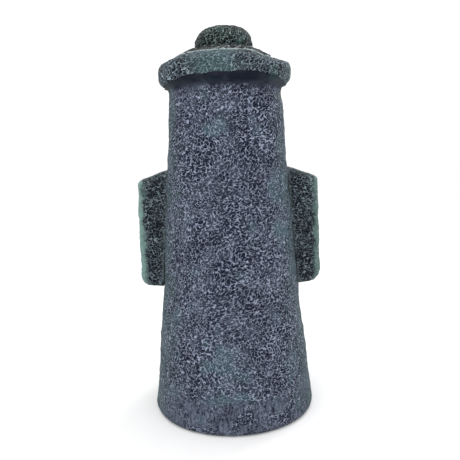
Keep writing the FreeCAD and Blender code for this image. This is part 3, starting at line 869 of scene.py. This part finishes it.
def build_figure():
    """Every visible piece, with its material."""
    slate = dict(
        ground=srgb(15, 21, 38), thread=srgb(158, 168, 190), rim_wash_and_sheen=srgb(46, 70, 66), wash=srgb(80, 106, 114)
    )
    sea = dict(
        ground=srgb(5, 12, 22), thread=srgb(146, 162, 174), rim_wash_and_sheen=srgb(66, 98, 96), wash=srgb(84, 118, 118)
    )
    moss = dict(
        ground=srgb(2, 9, 12), thread=srgb(136, 154, 152), rim_wash_and_sheen=srgb(50, 76, 74), wash=srgb(62, 94, 90)
    )
    night = dict(
        ground=srgb(5, 10, 19), thread=srgb(134, 150, 160), rim_wash_and_sheen=srgb(60, 84, 82), wash=srgb(140, 178, 168)
    )
    # The crown's narrow groove between brim and knob is painted near-black as shadow, with pale threads.
    groove_shadow = dict(
        ground=srgb(1, 3, 6), thread=srgb(176, 186, 186), rim_wash_and_sheen=srgb(24, 36, 38), wash=srgb(40, 60, 58)
    )
    trunk_stone = stone("trunk_stone", **slate, rim_wash_and_sheen_from=(0.7, 1.02), size=0.76, width=0.62)
    brim_stone = stone("brim_stone", **sea, rim_wash_and_sheen_from=(0.85, 1.3), size=0.74, smear=0.4, width=0.6)
    crown_stone = stone(
        "crown_stone", **groove_shadow, rim_wash_and_sheen_from=(1.3, 1.8), size=0.95, smear=0.1, width=0.8, haze=0.0
    )
    knob_stone = stone(
        "knob_stone", **moss, rim_wash_and_sheen_from=(0.95, 1.6), size=0.7, smear=0.8, width=0.54, haze=0.05
    )
    arm_stone = stone(
        "arm_stone", **night, rim_wash_and_sheen_from=(0.7, 1.05), size=0.68, smear=0.0, width=0.56, haze=0.05
    )
    mortar = stone("bed_mortar", **slate, rim_wash_and_sheen_from=(0.8, 1.2), size=0.76, width=0.62)
    felt = plain("felt_cloth", srgb(20, 30, 26), srgb(38, 52, 46), 2.0, 0.95, 0.3)
    board = plain("board", srgb(116, 92, 66), srgb(150, 122, 90), 5.0, 0.8, 0.1)
    beech = plain("beech", srgb(160, 124, 84), srgb(196, 160, 116), 4.0, 0.6, 0.1, (1.0, 1.0, 0.12))
    dress(make_trunk(), "trunk_shell", trunk_stone)
    dress(make_brim(), "hat_brim", brim_stone)
    dress(make_crown(), "hat_crown", crown_stone)
    dress(make_knob(), "hat_knob", knob_stone)
    dress(make_bed(), "hat_bed", mortar)
    dress(make_arm("left_arm", 61, 1.0), "left_arm", arm_stone)
    dress(make_arm("right_arm", 71, 0.55), "right_arm", arm_stone)
    dress(make_felt(), "base_felt", felt)
    hidden = {"base_plate": board, "hat_dowel": beech, "left_arm_pegs": beech, "right_arm_pegs": beech}
    for node, material in hidden.items():
        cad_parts[node].data.materials.clear()
        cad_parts[node].data.materials.append(material)


# ---------------------------------------------------------------- studio


def make_floor():
    """A wide pale floor."""
    half = FLOOR_HALF
    corners = [(-half, -half, 0.0), (half, -half, 0.0), (half, half, 0.0), (-half, half, 0.0)]
    floor = mesh_object("floor", corners, [[0, 1, 2, 3]])
    n = Nodes("floor_paper")
    grain = n.noise(30.0, detail=2.0).outputs["Fac"]
    colour = n.mix(grain, (0.93, 0.93, 0.93, 1.0), (0.96, 0.96, 0.96, 1.0))
    floor.data.materials.append(n.finish(colour, 0.9, grain, 0.02, specular=0.1))


def make_light(name, where, size, power):
    """A soft square light that faces the figure's middle."""
    data = bpy.data.lights.new(name, "AREA")
    data.size = size
    data.energy = power
    light = bpy.data.objects.new(name, data)
    light.location = where
    towards = Vector((0, 0, CAD_HIGH.z / 2)) - Vector(where)
    light.rotation_euler = towards.to_track_quat("-Z", "Y").to_euler()
    bpy.context.scene.collection.objects.link(light)


def make_world(brightness):
    """An even white surround."""
    world = bpy.data.worlds.new("studio")
    world.use_nodes = True
    background = world.node_tree.nodes["Background"]
    background.inputs["Color"].default_value = (1.0, 1.0, 1.0, 1.0)
    background.inputs["Strength"].default_value = brightness
    bpy.context.scene.world = world


def make_camera():
    """The camera behind the figure, looking a little down, tilted a little to one side."""
    data = bpy.data.cameras.new("camera")
    data.lens = CAMERA_LENS
    data.sensor_width = 36.0
    camera = bpy.data.objects.new("camera", data)
    look = Vector((0, -math.cos(CAMERA_PITCH), -math.sin(CAMERA_PITCH)))
    turn = look.to_track_quat("-Z", "Y").to_matrix() @ Matrix.Rotation(CAMERA_ROLL, 3, "Z")
    place = Matrix.Translation((CAMERA_SIDESTEP, CAMERA_DISTANCE, CAMERA_HEIGHT))
    camera.matrix_world = place @ turn.to_4x4()
    bpy.context.scene.collection.objects.link(camera)
    bpy.context.scene.camera = camera


def make_studio():
    """Floor, light and camera."""
    make_floor()
    make_world(SURROUND)
    for name, (where, size, power) in LIGHTS.items():
        make_light(name, where, size, power)
    make_camera()
    bpy.context.scene.view_settings.view_transform = "Standard"


build_figure()
make_studio()
